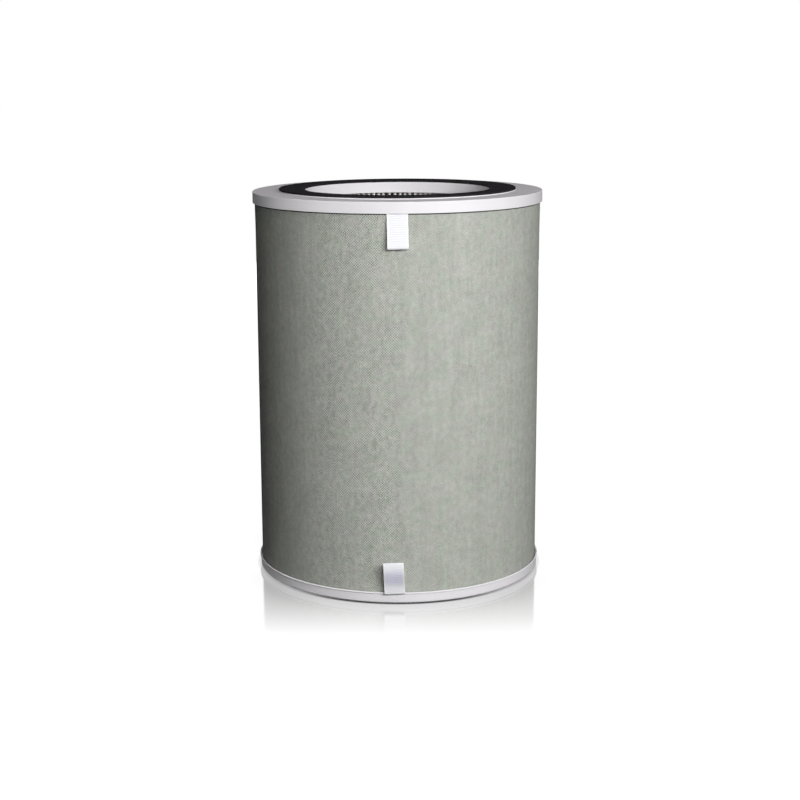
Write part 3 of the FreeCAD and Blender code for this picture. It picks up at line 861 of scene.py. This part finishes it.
# A painted contact shadow and a softer painted shade round it darken the floor's glow,
# darkest before and behind the foot.
off_side = floor_finish.ramp(abs(forwards), 0.02, 0.09)
off_corner = floor_finish.ramp(abs(forwards), 0.085, 0.132)
contact = (0.35 + 0.63 * off_corner) * (
    1 - floor_finish.ramp(from_axis, CONTACT_INNER, CONTACT_OUTER)
)
painted_foot_shade = 0.12 * off_side * (1 - floor_finish.ramp(from_axis, FOOT_SHADE_INNER, FOOT_SHADE_OUTER))
floor_finish.set(
    Base_Color=(0.07, 0.07, 0.07, 1),
    Roughness=0.9,
    Specular_IOR_Level=0.0,
    # Painted shadow: the floor's glow is darkened round the foot.
    Emission_Color=floor_finish.blend(
        (1 - contact) * (1 - painted_foot_shade), (0.0, 0.0, 0.0), (1.0, 1.0, 1.0)
    ),
    Emission_Strength=seen + 0.25 * mirrored,
)
# The polish shows near the foot, and only at a glancing view.
mirror = floor_finish.node(
    "ShaderNodeBsdfGlossy", {}, {"Color": (MIRROR, MIRROR, MIRROR, 1), "Roughness": 0.10}
)
sideways_squared = sideways * sideways
forwards_squared = forwards * forwards
reach = (
    sideways_squared * sideways_squared + forwards_squared * forwards_squared
) ** 0.25
fading = 1 - floor_finish.node(
    "ShaderNodeMapRange", {},
    {"Value": reach, "From Min": POLISH_INNER, "From Max": POLISH_OUTER},
)
glancing = floor_finish.ramp(
    floor_finish.node("ShaderNodeLayerWeight", {}, {"Blend": 0.5}, "Facing"), 0.35, 0.60
)
polished = floor_finish.node(
    "ShaderNodeMixShader", {},
    {0: 0.95 * fading * glancing * (1 - contact),
     1: Wire(floor_finish, floor_finish.surface.outputs[0]), 2: mirror},
)
floor_finish.feed(
    floor_finish.tree.nodes["Material Output"].inputs["Surface"], polished
)
floor.data.materials.append(floor_finish.material)

bpy.ops.mesh.primitive_cylinder_add(
    vertices=96, radius=6, depth=2.2, end_fill_type="NOTHING", location=(0, 0, 2.5)
)
backdrop = bpy.context.object
backdrop.name = "studio_backdrop"
backdrop_finish = Finish("backdrop_paper")
straight = backdrop_finish.node("ShaderNodeLightPath", {}, {}, "Is Camera Ray")
glanced = backdrop_finish.node("ShaderNodeLightPath", {}, {}, "Is Glossy Ray")
backdrop_finish.set(
    Base_Color=(0.0, 0.0, 0.0, 1),
    Specular_IOR_Level=0.0,
    Emission_Color=(1, 1, 1, 1),
    Emission_Strength=straight + (1 / MIRROR) * glanced,
)
backdrop.data.materials.append(backdrop_finish.material)

world = bpy.data.worlds.new("room")
bpy.context.scene.world = world
world.use_nodes = True
room = world.node_tree
air = room.nodes["Background"]
air.inputs["Color"].default_value = (1, 1, 1, 1)
rays = room.nodes.new("ShaderNodeLightPath")
reflected = room.nodes.new("ShaderNodeMath")
reflected.operation = "MULTIPLY_ADD"
reflected.inputs[1].default_value = 0.06
reflected.inputs[2].default_value = 0.02
bright = room.nodes.new("ShaderNodeMath")
bright.operation = "MAXIMUM"
room.links.new(rays.outputs["Is Glossy Ray"], reflected.inputs[0])
room.links.new(rays.outputs["Is Camera Ray"], bright.inputs[0])
room.links.new(reflected.outputs[0], bright.inputs[1])
room.links.new(bright.outputs[0], air.inputs["Strength"])


def soft_lamp(
    name, azimuth, elevation, distance, width, height, power, broad=True, colour=(1, 1, 1)
):
    """A rectangular lamp aimed at the middle, or a card that only shows as a reflection."""
    lamp = bpy.data.lights.new(name, "AREA")
    lamp.shape = "RECTANGLE"
    lamp.size = width
    lamp.size_y = height
    lamp.energy = power
    lamp.color = colour
    holder = bpy.data.objects.new(name, lamp)
    bpy.context.scene.collection.objects.link(holder)
    turn = math.radians(azimuth)
    lift = math.radians(elevation)
    aim = Vector((
        math.sin(turn) * math.cos(lift), -math.cos(turn) * math.cos(lift), math.sin(lift)
    ))
    holder.location = Vector((0, 0, LAMP_AIM)) + distance * aim
    holder.rotation_euler = aim.to_track_quat("Z", "Y").to_euler()
    holder.visible_camera = False
    holder.visible_glossy = not broad
    holder.visible_diffuse = broad


soft_lamp("front_lamp", 22.5, 21, 1.6, 1.25, 0.45, 25.2)
soft_lamp("back_lamp", 180, 4, 2.4, 1.0, 0.6, 56)
soft_lamp("overhead_lamp", -10, 75, 2.0, 1.4, 1.4, 8, colour=(1, 0.94, 0.98))
soft_lamp("left_card", -78, 6, 1.6, 2.0, 1.4, 25, broad=False)

# A long lens, shifted a little sideways, seen from the front and a little above.
CAMERA_TURN = math.radians(1.035)
CAMERA_DIP = math.radians(12.063)
CAMERA_ROLL = math.radians(-0.438)
camera = bpy.data.cameras.new("camera")
camera.lens = 71.09
camera.sensor_width = 36
camera.shift_x = 0.0375
viewer = bpy.data.objects.new("camera", camera)
bpy.context.scene.collection.objects.link(viewer)
viewer.location = (0, -1.5122, 0.4844)
viewer.rotation_euler = (
    Matrix.Rotation(CAMERA_TURN, 3, "Z")
    @ Matrix.Rotation(math.radians(90) - CAMERA_DIP, 3, "X")
    @ Matrix.Rotation(CAMERA_ROLL, 3, "Z")
).to_euler()
bpy.context.scene.camera = viewer
bpy.context.scene.view_settings.view_transform = "Standard"
